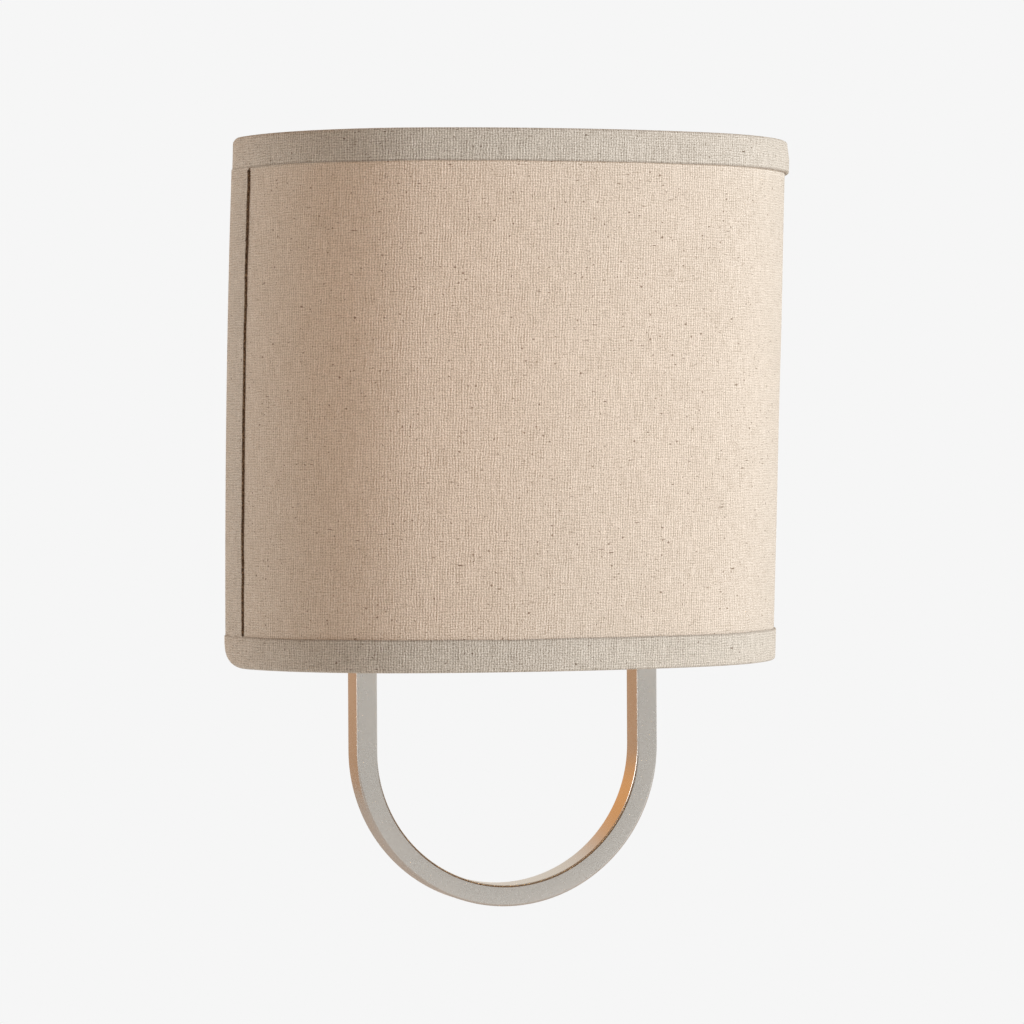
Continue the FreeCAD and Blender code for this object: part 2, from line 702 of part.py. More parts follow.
def socket_bracket():
    body = new_body("socket_bracket")
    face, under = "(-pan_depth)", f"({SHELF_TOP} - bracket_wall)"
    inner, outer = "bracket_bend", "(bracket_bend + bracket_wall)"
    tip = "(-lamp_out - bracket_lip)"
    flange_top = f"({SHELF_TOP} + bracket_flange)"
    outline = [
        (face, flange_top), (face, f"{under} + {outer}", outer, -1),
        (f"{face} - {outer}", under), (tip, under), (tip, SHELF_TOP),
        (f"{face} - bracket_wall - {inner}", SHELF_TOP, inner, 1),
        (f"{face} - bracket_wall", f"{SHELF_TOP} + {inner}"),
        (f"{face} - bracket_wall", flange_top),
    ]
    base = pad(body, draw(new_sketch(body, "YZ"), outline), "lamp_spacing + 2 * bracket_end", both_ways=True)
    reach = number(tip)
    corners = edges_where(base, lambda e: abs(e.Vertexes[0].Y - reach) < 1e-4
                          and abs(e.Vertexes[-1].Y - reach) < 1e-4
                          and abs(e.Vertexes[0].X - e.Vertexes[-1].X) < 1e-4)
    eased(body, base, "Fillet", corners, "Radius", "bracket_corner")
    shelf_holes, flange_holes = new_sketch(body, "XY"), new_sketch(body, "XZ")
    for side in (-1, 1):
        ring(shelf_holes, f"{side} * lamp_spacing / 2", "-lamp_out", "nipple_size / 2 + thread_gap")
        ring(flange_holes, f"{side} * bracket_screw_spacing / 2", BRACKET_SCREW_Z,
             "screw_size / 2 + thread_gap")
    cut_through(body, shelf_holes, both_ways=True)
    cut_through(body, flange_holes, both_ways=True)
    return body


def bracket_screws():
    body = screw("bracket_screw", "(bracket_wall + pan_wall + bracket_screw_bite)",
                 x="bracket_screw_spacing / 2", y="-pan_depth - bracket_wall", z=BRACKET_SCREW_Z)
    return with_mirror("bracket_screws", body)


def nipples():
    """Hollow threaded tubes that clamp the lamp holders to the shelf and pass the leads."""
    body = new_body("socket_nipple", x="lamp_spacing / 2", y="-lamp_out",
                    z=f"{SHELF_TOP} - bracket_wall - locknut_height - nipple_tail")
    sketch = new_sketch(body, "XY")
    ring(sketch, "0", "0", "nipple_size / 2")
    ring(sketch, "0", "0", "nipple_bore / 2")
    pad(body, sketch, "nipple_tail + locknut_height + bracket_wall + hickey_wall + nipple_head")
    return with_mirror("socket_nipples", body)


def locknuts():
    body = new_body("socket_locknut", x="lamp_spacing / 2", y="-lamp_out",
                    z=f"{SHELF_TOP} - bracket_wall - locknut_height")
    sketch = draw(new_sketch(body, "XY"), hexagon("locknut_flats"))
    ring(sketch, "0", "0", "nipple_size / 2 + thread_gap")
    pad(body, sketch, "locknut_height")
    return with_mirror("socket_locknuts", body)


def hickey(label, x):
    """C-shaped strip that carries the socket above the shelf."""
    body = new_body(label, x=x, y="-lamp_out", z=SHELF_TOP)
    back, front = "(-hickey_back)", "(hickey_reach + hickey_wall)"
    outline = [
        (back, "0"), (front, "0"), (front, "hickey_height"), (back, "hickey_height"),
        (back, "hickey_height - hickey_wall"), ("hickey_reach", "hickey_height - hickey_wall"),
        ("hickey_reach", "hickey_wall"), (back, "hickey_wall"),
    ]
    pad(body, draw(new_sketch(body, "XZ"), outline), "hickey_width", both_ways=True)
    foot_hole = ring(new_sketch(body, "XY"), "0", "0", "nipple_size / 2 + thread_gap")
    feature(body, "Pocket", foot_hole, Length="hickey_wall", Reversed=True)
    rivet_hole = ring(new_sketch(body, "XY", lift="hickey_height"), "0", "0",
                      "rivet_radius + thread_gap")
    feature(body, "Pocket", rivet_hole, Length="hickey_wall")
    return body


def holder(side, x):
    """Everything that one lamp screws into."""
    bore, rim = "(shell_size / 2 + thread_gap)", "(socket_size / 2)"
    hole = "(rivet_radius + thread_gap)"
    socket = lathe(f"{side}_socket", [
        (hole, "0"), (rim, "0"), (rim, "socket_height"), (bore, "socket_height"),
        (bore, "socket_floor"), (hole, "socket_floor"),
    ], x=x, y="-lamp_out", z=SOCKET_BASE)
    shell = new_body(f"{side}_screw_shell", x=x, y="-lamp_out",
                     z=f"{SOCKET_BASE} + socket_floor")
    sketch = ring(new_sketch(shell, "XY"), "0", "0", "shell_size / 2")
    ring(sketch, "0", "0", "shell_size / 2 - shell_wall")
    pad(shell, sketch, "shell_height")
    head = "(-hickey_wall - rivet_head_height)"
    disc = "(socket_floor + contact_disc_height)"
    button = f"({disc} + contact_button_height)"
    contact = lathe(f"{side}_centre_contact", [
        ("0", head), ("rivet_head", head), ("rivet_head", "-hickey_wall"),
        ("rivet_radius", "-hickey_wall"), ("rivet_radius", "socket_floor"),
        ("contact_disc", "socket_floor"), ("contact_disc", disc), ("contact_button", disc),
        ("contact_button", button), ("0", button),
    ], x=x, y="-lamp_out", z=SOCKET_BASE)
    sleeve = new_body(f"{side}_candle_sleeve", x=x, y="-lamp_out", z=SHELF_TOP)
    sketch = ring(new_sketch(sleeve, "XY"), "0", "0", "sleeve_size / 2")
    ring(sketch, "0", "0", "sleeve_size / 2 - sleeve_wall")
    pad(sleeve, sketch, SLEEVE_HEIGHT)
    return [hickey(f"{side}_hickey", x), socket, shell, contact, sleeve]


# ---------------------------------------------------------------- lamps

def lamp_glass(label, x):
    """Tubular envelope with a sloped shoulder and end, open at the neck for the stem."""
    foot, shoulder = f"({CAP_TOP} - neck_length)", f"({CAP_TOP} + neck_rise)"
    side_foot, top = f"({shoulder} + shoulder_rise)", f"({CAP_TOP} + bulb_length)"
    bore, wide = "(neck_radius - glass_wall)", "(bulb_radius - glass_wall)"
    return lathe(label, [
        ("neck_radius", foot), ("neck_radius", shoulder), ("bulb_radius", side_foot),
        ("bulb_radius", f"{top} - bulb_slope"), ("bulb_radius - bulb_slope", top), ("0", top),
        ("0", f"{top} - glass_wall"), (f"{wide} - bulb_slope", f"{top} - glass_wall"),
        (wide, f"{top} - glass_wall - bulb_slope"), (wide, side_foot), (bore, shoulder),
        (bore, foot),
    ], x=x, y="-lamp_out", z=LAMP_BASE)


def lamp_filament(label, x):
    """Glass stem that closes the neck, with the upright filament rod on it."""
    foot, seal = f"({CAP_TOP} - neck_length)", "(neck_radius - glass_wall - thread_gap)"
    top = f"({foot} + stem_height)"
    return lathe(label, [
        ("0", foot), (seal, foot), (seal, f"{foot} + glass_wall"),
        ("stem_radius", f"{foot} + glass_wall"), ("stem_radius", top), ("filament_radius", top),
        ("filament_radius", f"{top} + filament_length"), ("0", f"{top} + filament_length"),
    ], x=x, y="-lamp_out", z=LAMP_BASE)


def lamp(side, x):
    place = {"x": x, "y": "-lamp_out", "z": LAMP_BASE}
    inside, plug = "(cap_radius - cap_wall)", f"({CAP_FOOT} + insulator_plug)"
    tip = lathe(f"{side}_lamp_tip", [
        ("0", "0"), ("tip_radius", "0"), ("tip_radius", "tip_height"), ("0", "tip_height"),
    ], **place)
    insulator = lathe(f"{side}_lamp_insulator", [
        ("0", "tip_height"), ("tip_radius", "tip_height"), (inside, CAP_FOOT), (inside, plug),
        ("0", plug),
    ], **place)
    cap = lathe(f"{side}_lamp_cap", [
        (inside, CAP_FOOT), ("cap_radius", CAP_FOOT), ("cap_radius", CAP_TOP), (inside, CAP_TOP),
    ], **place)
    return [tip, insulator, cap, lamp_glass(f"{side}_lamp_glass", x),
            lamp_filament(f"{side}_lamp_filament", x)]


# ---------------------------------------------------------------- shade fixing

def shade_studs():
    """Studs pressed into the pan's face from inside, which carry the shade's hanger."""
    head, stem = "(shade_stud_head / 2)", STUD_RADIUS
    back = "(pan_wall + shade_stud_head_height)"
    tip = (f"({THUMB_SEAT} - pan_depth + thumb_collar_height + thumb_height + shade_stud_spare)")
    body = lathe("shade_stud", [
        ("0", f"-{tip}"), (stem, f"-{tip}"), (stem, "pan_wall"), (head, "pan_wall"),
        (head, back), ("0", back),
    ], axis="Y", x="shade_stud_spacing / 2", y="-pan_depth", z=SHADE_STUD_Z)
    return with_mirror("shade_studs", body)


def thumb_nut(label, side):
    """Knurled nut that clamps the hanger, turned by hand to take the shade off."""
    body = new_body(label, x=f"{side} * shade_stud_spacing / 2", y=f"-{THUMB_SEAT}", z=SHADE_STUD_Z)
    bore, collar, grip = f"({STUD_RADIUS} + thumb_play)", "(thumb_collar / 2)", "(thumb_size / 2)"
    deep = "(thumb_collar_height + thumb_height)"
    turned(body, draw(new_sketch(body, "XY"), [
        (bore, "0"), (bore, f"-{deep}"), (grip, f"-{deep}"), (grip, "-thumb_collar_height"),
        (collar, "-thumb_collar_height"), (collar, "0"),
    ]))
    groove = draw(new_sketch(body, "XZ", lift=deep), [
        (f"{grip} - knurl_depth", "0"), (f"{grip} + knurl_depth", "-2 * knurl_depth"),
        (f"{grip} + knurl_depth", "2 * knurl_depth"),
    ])
    cut = feature(body, "Pocket", groove, Length="thumb_height")
    knurl = body.newObject("PartDesign::PolarPattern", f"{label}_knurl")
    knurl.Originals = [cut]
    origin_axis = [o for o in body.Origin.OriginFeatures if o.Role == "Y_Axis"][0]
    knurl.Axis = (origin_axis, [""])
    knurl.Angle = 360
    knurl.setExpression("Occurrences", tie("knurl_count"))
    body.Tip = knurl
    return body


def fittings():
    pieces = [socket_bracket(), bracket_screws(), nipples(), locknuts(), shade_studs()]
    for side, sign in (("left", -1), ("right", 1)):
        x = f"({sign} * lamp_spacing / 2)"
        pieces += holder(side, x) + lamp(side, x)
        pieces.append(thumb_nut(f"{side}_thumb_nut", sign))
    return pieces


pieces = shade() + wall_plate() + fittings()
document.recompute()

faults = [f"{o.Name}: {o.State}" for o in document.Objects
          if "Invalid" in o.State or "Error" in o.State]
for piece in pieces:
    if piece.Shape.isNull() or not piece.Shape.isValid() or not piece.Shape.Solids:
        faults.append(f"{piece.Label}: bad shape")
if faults:
    sys.exit("\n".join(faults))

os.makedirs("parts", exist_ok=True)
for piece in pieces:
    piece.Shape.exportStep(f"parts/{piece.Label}.step")
    box = piece.Shape.BoundBox
    print(f"{piece.Label}: {len(piece.Shape.Solids)} solids, {piece.Shape.Volume:.1f} mm3,"
          f" x {box.XMin:.2f}..{box.XMax:.2f} y {box.YMin:.2f}..{box.YMax:.2f}"
          f" z {box.ZMin:.2f}..{box.ZMax:.2f}")
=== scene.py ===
import bmesh
import bpy
import json
import math
from mathutils import Matrix, Vector, noise


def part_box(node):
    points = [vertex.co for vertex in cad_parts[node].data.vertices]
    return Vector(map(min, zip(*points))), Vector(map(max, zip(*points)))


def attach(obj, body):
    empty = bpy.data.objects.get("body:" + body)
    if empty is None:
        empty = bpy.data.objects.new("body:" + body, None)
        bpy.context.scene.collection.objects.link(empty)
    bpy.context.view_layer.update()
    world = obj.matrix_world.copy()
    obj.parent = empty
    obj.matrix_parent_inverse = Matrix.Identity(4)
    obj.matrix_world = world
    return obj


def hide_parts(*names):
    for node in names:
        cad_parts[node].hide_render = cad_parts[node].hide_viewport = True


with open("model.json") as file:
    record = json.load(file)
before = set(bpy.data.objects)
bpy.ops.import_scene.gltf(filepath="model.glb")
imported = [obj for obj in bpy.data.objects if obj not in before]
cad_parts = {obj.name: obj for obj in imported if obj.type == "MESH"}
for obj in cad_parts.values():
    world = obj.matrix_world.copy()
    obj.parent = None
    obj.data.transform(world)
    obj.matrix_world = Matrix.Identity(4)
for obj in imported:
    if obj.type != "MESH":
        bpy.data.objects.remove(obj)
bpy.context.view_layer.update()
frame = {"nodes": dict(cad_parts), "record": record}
scene = bpy.context.scene
scene.view_settings.view_transform = "Standard"
nodes = frame["nodes"]


cameraView = {
    "place": (-0.6123, -1.8755, -0.0176),
    "turn": 18.18,          # degrees to the right of straight at the wall
    "dip": 0.91,            # degrees below level
    "roll": -0.30,
    "lens": 156.04,
    "sensor": 36.0,
    "shift": 0.0068,
}


def makeCamera():
    turn, dip, roll = (math.radians(cameraView[k]) for k in ("turn", "dip", "roll"))
    forward = Vector((math.sin(turn) * math.cos(dip), math.cos(turn) * math.cos(dip), -math.sin(dip)))
    level = Vector((math.cos(turn), -math.sin(turn), 0))
    upright = level.cross(forward)
    right = level * math.cos(roll) + upright * math.sin(roll)
    up = upright * math.cos(roll) - level * math.sin(roll)
    data = bpy.data.cameras.new("camera")
    data.lens, data.sensor_width, data.shift_x = (cameraView[k] for k in ("lens", "sensor", "shift"))
    data.clip_start, data.clip_end = 0.05, 30
    camera = bpy.data.objects.new("camera", data)
    turned = Matrix((right, up, -forward)).transposed().to_4x4()
    camera.matrix_world = Matrix.Translation(cameraView["place"]) @ turned
    scene.collection.objects.link(camera)
    scene.camera = camera


makeCamera()
print("camera set")


def addNode(tree, kind, inputs=None, **settings):
    # each input is given a plain value, or linked to another node's socket
    made = tree.nodes.new(kind)
    for key, value in settings.items():
        setattr(made, key, value)
    for key, value in (inputs or {}).items():
        if isinstance(value, bpy.types.NodeSocket):
            tree.links.new(value, made.inputs[key])
        else:
            made.inputs[key].default_value = value
    return made


def maths(tree, operation, first, second=0.0, third=0.0):
    # only MULTIPLY_ADD reads the third
    inputs = {0: first, 1: second, 2: third}
    return addNode(tree, "ShaderNodeMath", inputs, operation=operation).outputs[0]


def spread(tree, value, low, high, toLow=0.0, toHigh=1.0, smooth=False):
    return addNode(tree, "ShaderNodeMapRange", {
        "Value": value, "From Min": low, "From Max": high, "To Min": toLow, "To Max": toHigh,
    }, interpolation_type="SMOOTHSTEP" if smooth else "LINEAR").outputs[0]


def grains(tree, place, stretch, detail=2.0, rough=0.5):
    # noise on a place that is stretched by a factor along each axis
    scaled = addNode(tree, "ShaderNodeVectorMath", {0: place, 1: stretch}, operation="MULTIPLY")
    return addNode(tree, "ShaderNodeTexNoise", {
        "Vector": scaled.outputs[0], "Scale": 1.0, "Detail": detail, "Roughness": rough,
    }).outputs["Fac"]


def blendColour(tree, share, first, second, mode="MIX"):
    # a Mix node keeps its colours in inputs 6 and 7 and in output 2
    inputs = {0: share, 6: first, 7: second}
    return addNode(tree, "ShaderNodeMix", inputs, data_type="RGBA", blend_type=mode).outputs[2]


def newGroup(name, inputs, outputs):
    tree = bpy.data.node_groups.new(name, "ShaderNodeTree")
    for label, kind in inputs:
        tree.interface.new_socket(label, in_out="INPUT", socket_type=f"NodeSocket{kind}")
    for label, kind in outputs:
        tree.interface.new_socket(label, in_out="OUTPUT", socket_type=f"NodeSocket{kind}")
    return tree, tree.nodes.new("NodeGroupInput").outputs, tree.nodes.new("NodeGroupOutput").inputs


def placeGroup(tree, group, inputs):
    return addNode(tree, "ShaderNodeGroup", inputs, node_tree=group).outputs


weave = {
    "wander": (140.0, 0.0018),          # how finely the threads wander, and how far
    "waves": (("Warp", 0.15), ("Weft", 0.09)),      # each with its share of the tone
    "grains": (                         # fineness along and up, detail, roughness, share of the tone
        (1500, 100, 2, 0.6, 0.28),      # upright threads
        (130, 1500, 2, 0.6, 0.18),      # level threads
        (1500, 1600, 1, 0.5, 0.50),     # knots
        (30, 30, 3, 0.5, 0.04),         # clouds
    ),
    "grainRange": (0.3, 0.7),
    "toneRange": (0.05, 0.90),
    "dots": (620, 760, 1),
    "dotRange": (0.77, 0.82),
    "dotShare": 0.75,
    "dashes": (230, 1500, 1),
    "dashRange": (0.69, 0.75),
    "patches": (45, 60, 1),             # the dashes come in patches
    "patchRange": (0.50, 0.62),
    "edgeShadowRange": (0.0004, 0.0008),       # painted shadow along a strip's cut edge is full up to here, and gone from here
    "fleckAndShadowColour": (0.13, 0.085, 0.05, 1),
}


def linenWeaveGroup():
    tree, given, out = newGroup("linenWeave", [
        ("Place", "Vector"), ("Warp", "Float"), ("Weft", "Float"), ("Light", "Color"),
        ("Dark", "Color"), ("EdgeShadow", "Float"),
    ], [("Color", "Color"), ("Height", "Float")])
    place = given["Place"]
    fineness, width = weave["wander"]
    wander = addNode(tree, "ShaderNodeTexNoise", {"Vector": place, "Scale": fineness, "Detail": 2.0})
    drift = addNode(tree, "ShaderNodeVectorMath", {
        0: wander.outputs["Color"], 1: (0.5, 0.5, 0.5)}, operation="SUBTRACT")
    bent = addNode(tree, "ShaderNodeVectorMath", {
        0: drift.outputs[0], 1: (width, width, 0.0), 2: place}, operation="MULTIPLY_ADD")
    split = addNode(tree, "ShaderNodeSeparateXYZ", {0: bent.outputs[0]})
    tone = 0.0
    for axis, (pitch, share) in enumerate(weave["waves"]):
        turns = maths(tree, "DIVIDE", 2 * math.pi, given[pitch])
        wave = maths(tree, "SINE", maths(tree, "MULTIPLY", split.outputs[axis], turns))
        tone = maths(tree, "MULTIPLY_ADD", wave, share, tone)
    for along, up, detail, rough, share in weave["grains"]:
        grain = spread(tree, grains(tree, place, (along, up, 1), detail, rough), *weave["grainRange"])
        tone = maths(tree, "MULTIPLY_ADD", grain, share, tone)
    base = blendColour(tree, spread(tree, tone, *weave["toneRange"]), given["Dark"], given["Light"])
    dots = spread(tree, grains(tree, place, weave["dots"], detail=0), *weave["dotRange"])
    dashes = spread(tree, grains(tree, place, weave["dashes"], detail=1), *weave["dashRange"])
    patches = spread(tree, grains(tree, place, weave["patches"], detail=1), *weave["patchRange"])
    flecksAndEdgeShadow = maths(tree, "MAXIMUM", maths(tree, "MULTIPLY", dots, weave["dotShare"]),
                  maths(tree, "MULTIPLY", dashes, patches))
    # a strip's cut edge, lined with painted shadow, is where the second coordinate of its map starts
    across = addNode(tree, "ShaderNodeSeparateXYZ", {0: place}).outputs[1]
    edgeShadow = maths(tree, "MULTIPLY", spread(tree, across, *weave["edgeShadowRange"], 1.0, 0.0), given["EdgeShadow"])
    # the painted shadow line along the cut edge is blended in with the flecks' dark colour
    flecksAndEdgeShadow = maths(tree, "MAXIMUM", flecksAndEdgeShadow, edgeShadow)
    tree.links.new(blendColour(tree, flecksAndEdgeShadow, base, weave["fleckAndShadowColour"]), out["Color"])
    tree.links.new(tone, out["Height"])
    return tree


lampGlow = {
    "reach": 0.065,             # from a lamp's axis to where its light on the cloth has halved
    "power": 4.5,
    "upright": 0.3,             # a tall lamp's light spreads out upward and downward
    "left": 0.80,               # strength of each lamp's patch, the left one shows more
    "right": 0.62,
}


def lampGlowGroup():
    # light of the two lamps inside, as it shows through the cloth at a place on it
    tree, given, out = newGroup("lampGlow", [("Place", "Vector")], [("Share", "Float")])
    glow = 0.0
    for side in ("left", "right"):
        low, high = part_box(f"{side}_lamp_glass")
        away = addNode(tree, "ShaderNodeVectorMath", {
            0: given["Place"], 1: (low + high) / 2}, operation="SUBTRACT")
        flat = addNode(tree, "ShaderNodeVectorMath", {
            0: away.outputs[0], 1: (1, 1, lampGlow["upright"])}, operation="MULTIPLY")
        far = addNode(tree, "ShaderNodeVectorMath", {0: flat.outputs[0]}, operation="LENGTH")
        far = maths(tree, "DIVIDE", far.outputs["Value"], lampGlow["reach"])
        far = maths(tree, "POWER", far, lampGlow["power"])
        near = maths(tree, "DIVIDE", lampGlow[side], maths(tree, "ADD", far, 1.0))
        glow = maths(tree, "ADD", near, glow)
    tree.links.new(glow, out["Share"])
    return tree


metalGrain = {
    "bump": 0.3,
    "clouds": (28, 28, 28),
    "grainRange": (0.3, 0.7),
    "dimRange": (0.25, 0.75, 0.93, 1.03),       # from the clouds' tone to the colour's strength
}


def metalGrainGroup():
    tree, given, out = newGroup("metalGrain", [
        ("Place", "Vector"), ("Stretch", "Vector"), ("Smooth", "Float"), ("Uneven", "Float"),
        ("Color", "Color"),
    ], [("Color", "Color"), ("Roughness", "Float"), ("Height", "Float")])
    lines = grains(tree, given["Place"], given["Stretch"], detail=3, rough=0.6)
    clouds = grains(tree, given["Place"], metalGrain["clouds"], detail=3)
    rough = given["Smooth"]
    for grain in (lines, clouds):
        change = spread(tree, grain, *metalGrain["grainRange"], -0.5, 0.5)
        rough = maths(tree, "MULTIPLY_ADD", change, given["Uneven"], rough)
    tree.links.new(rough, out["Roughness"])
    tree.links.new(lines, out["Height"])
    dim = spread(tree, clouds, *metalGrain["dimRange"])
    tinted = addNode(tree, "ShaderNodeVectorMath", {0: given["Color"], "Scale": dim}, operation="SCALE")
    tree.links.new(tinted.outputs[0], out["Color"])
    return tree


mouldedSkin = {
    "pores": (900, 900, 900),
    "clouds": (60, 60, 60),
    "roughRange": (0.3, 0.7, 0.05, -0.05),      # from the clouds' tone to the change of roughness
    "relief": (0.25, 0.00005),                  # strength and height
    "dustRange": (0.35, 0.75),
    "dustColour": (0.62, 0.58, 0.52, 1),
}


def mouldedGroup():
    tree, given, out = newGroup("moulded", [
        ("Place", "Vector"), ("Color", "Color"), ("Smooth", "Float"), ("Dust", "Float"),
    ], [("Color", "Color"), ("Roughness", "Float"), ("Height", "Float")])
    pores = grains(tree, given["Place"], mouldedSkin["pores"])
    clouds = grains(tree, given["Place"], mouldedSkin["clouds"], detail=3)
    tree.links.new(pores, out["Height"])
    change = spread(tree, clouds, *mouldedSkin["roughRange"])
    tree.links.new(maths(tree, "ADD", given["Smooth"], change), out["Roughness"])
    dusty = spread(tree, clouds, *mouldedSkin["dustRange"])
    share = maths(tree, "MULTIPLY", dusty, given["Dust"])
    tree.links.new(blendColour(tree, share, given["Color"], mouldedSkin["dustColour"]), out["Color"])
    return tree


groups = {"weave": linenWeaveGroup(), "glow": lampGlowGroup(), "metal": metalGrainGroup(),
          "moulded": mouldedGroup()}


def newMaterial(name):
    material = bpy.data.materials.new(name)
    material.use_nodes = True
    tree = material.node_tree
    return material, tree, tree.nodes["Principled BSDF"]


def bump(tree, height, strength, distance):
    return addNode(tree, "ShaderNodeBump", {
        "Height": height, "Strength": strength, "Distance": distance}).outputs[0]


clothLook = {
    "light": (0.790, 0.745, 0.675, 1),
    "dark": (0.380, 0.335, 0.270, 1),
    "trimDark": (0.310, 0.272, 0.220, 1),
    "warp": 0.00118,
    "weft": 0.00106,
    "glow": (0.190, 0.074, 0.016),
    "veil": 0.8,                # how far the weave darkens the glow
    "relief": (0.8, 0.00030),   # strength and height
    "edgeShadowShare": 0.4,            # how dark the painted shadow along the strips' cut edges is
    "finish": {"Roughness": 0.92, "Specular IOR Level": 0.2, "Sheen Weight": 0.15,
               "Sheen Roughness": 0.6},
}


def linen(name, dark, edgeShadow, glowing):
    material, tree, shader = newMaterial(name)
    woven = placeGroup(tree, groups["weave"], {
        "Place": addNode(tree, "ShaderNodeUVMap", uv_map="cloth").outputs[0],
        "Warp": clothLook["warp"], "Weft": clothLook["weft"], "Light": clothLook["light"],
        "Dark": dark, "EdgeShadow": edgeShadow})
    tree.links.new(woven["Color"], shader.inputs["Base Color"])
    tree.links.new(bump(tree, woven["Height"], *clothLook["relief"]), shader.inputs["Normal"])
    for key, value in clothLook["finish"].items():
        shader.inputs[key].default_value = value
    if glowing:
        share = placeGroup(tree, groups["glow"], {
            "Place": addNode(tree, "ShaderNodeTexCoord").outputs["Object"]})["Share"]
        lit = addNode(tree, "ShaderNodeVectorMath", {0: clothLook["glow"], "Scale": share},
                      operation="SCALE")
        veiled = blendColour(tree, clothLook["veil"], lit.outputs[0], woven["Color"], "MULTIPLY")
        tree.links.new(veiled, shader.inputs["Emission Color"])
        shader.inputs["Emission Strength"].default_value = 1.0
    return material


def metal(name, colour, smooth, stretch, uneven=0.08, relief=0.00002):
    material, tree, shader = newMaterial(name)
    worn = placeGroup(tree, groups["metal"], {
        "Place": addNode(tree, "ShaderNodeTexCoord").outputs["Object"], "Stretch": stretch,
        "Smooth": smooth, "Uneven": uneven, "Color": colour})
    tree.links.new(worn["Color"], shader.inputs["Base Color"])
    tree.links.new(worn["Roughness"], shader.inputs["Roughness"])
    tree.links.new(bump(tree, worn["Height"], metalGrain["bump"], relief), shader.inputs["Normal"])
    shader.inputs["Metallic"].default_value = 1.0
    return material


def moulded(name, colour, smooth, dust=0.1, coat=0.0, glow=None):
    material, tree, shader = newMaterial(name)
    skin = placeGroup(tree, groups["moulded"], {
        "Place": addNode(tree, "ShaderNodeTexCoord").outputs["Object"], "Color": colour,
        "Smooth": smooth, "Dust": dust})
    tree.links.new(skin["Color"], shader.inputs["Base Color"])
    tree.links.new(skin["Roughness"], shader.inputs["Roughness"])
    tree.links.new(bump(tree, skin["Height"], *mouldedSkin["relief"]), shader.inputs["Normal"])
    shader.inputs["Coat Weight"].default_value = coat
    if glow:
        shader.inputs["Emission Color"].default_value = glow
        shader.inputs["Emission Strength"].default_value = 1.0
    return material


rawThreads = {
    "twist": (1500, 1500, 1300),
    "lightRange": (0.45, 0.70),         # of the twist's tone, from all dark to all light
    "relief": (0.8, 0.0004),            # strength and height
    "rough": 0.85,
}


def rawEdge(name, light, dark):
    material, tree, shader = newMaterial(name)
    place = addNode(tree, "ShaderNodeTexCoord").outputs["Object"]
    twist = grains(tree, place, rawThreads["twist"], rough=0.6)
    tree.links.new(blendColour(tree, spread(tree, twist, *rawThreads["lightRange"]), dark, light),
                   shader.inputs["Base Color"])
    tree.links.new(bump(tree, twist, *rawThreads["relief"]), shader.inputs["Normal"])
    shader.inputs["Roughness"].default_value = rawThreads["rough"]
    return material


materials = {
    "shade_cloth": linen("shadeLinen", clothLook["dark"], 0.0, glowing=True),
    # the strips carry a painted shadow line along their cut edges
    "trim_cloth": linen("trimLinen", clothLook["trimDark"], clothLook["edgeShadowShare"], glowing=False),
    # the seam edge's dark brown is partly the sized edge's own colour and partly painted shadow
    "seam_edge": rawEdge("seamEdge", light=(0.40, 0.28, 0.17, 1), dark=(0.070, 0.040, 0.020, 1)),
    "liner_plastic": moulded("linerStyrene", (0.86, 0.80, 0.70, 1), 0.45, dust=0.08),
    "frame_white": moulded("frameEnamel", (0.80, 0.78, 0.73, 1), 0.3, coat=0.3),
    "satin_nickel": metal("satinNickel", (0.62, 0.60, 0.575, 1), 0.28, (900, 900, 900),
                          uneven=0.03, relief=0.000002),
    "pan_nickel": metal("panNickel", (0.60, 0.58, 0.55, 1), 0.34, (60, 1500, 1500)),
    "knob_nickel": metal("knobNickel", (0.66, 0.63, 0.59, 1), 0.25, (500, 500, 500)),
    "zinc_steel": metal("zincSteel", (0.56, 0.57, 0.58, 1), 0.36, (350, 350, 350),
                        uneven=0.14),
    "green_screw": metal("groundScrewGreen", (0.05, 0.26, 0.09, 1), 0.35, (400, 400, 400)),
    "black_plastic": moulded("bushingNylon", (0.018, 0.018, 0.020, 1), 0.4),
    "phenolic": moulded("socketPhenolic", (0.030, 0.022, 0.018, 1), 0.28, dust=0.12, coat=0.3),
    "contact_brass": metal("contactBrass", (0.72, 0.50, 0.20, 1), 0.28, (300, 300, 900)),
    "candle_white": moulded("candleSleeve", (0.78, 0.74, 0.64, 1), 0.5, dust=0.08),
    "vitrite": moulded("capVitrite", (0.010, 0.010, 0.014, 1), 0.1, dust=0.03, coat=1.0),
    "lamp_cap_nickel": metal("lampCapNickel", (0.60, 0.57, 0.52, 1), 0.3, (200, 200, 2600)),
    "frosted_glass": moulded("frostedGlass", (0.85, 0.80, 0.72, 1), 0.4, dust=0.0, coat=0.4,
                             glow=(1.0, 0.62, 0.30, 1)),
    "filament": moulded("filamentRod", (0.9, 0.7, 0.35, 1), 0.5, dust=0.0,
                        glow=(1.0, 0.55, 0.2, 1)),
}
slots = {part["node"]: part["material_slot"] for part in frame["record"]["subparts"]}
for nodeName, cadNode in nodes.items():
    cadNode.data.materials.clear()
    cadNode.data.materials.append(materials[slots[nodeName]])
print("materials made:", len(materials))


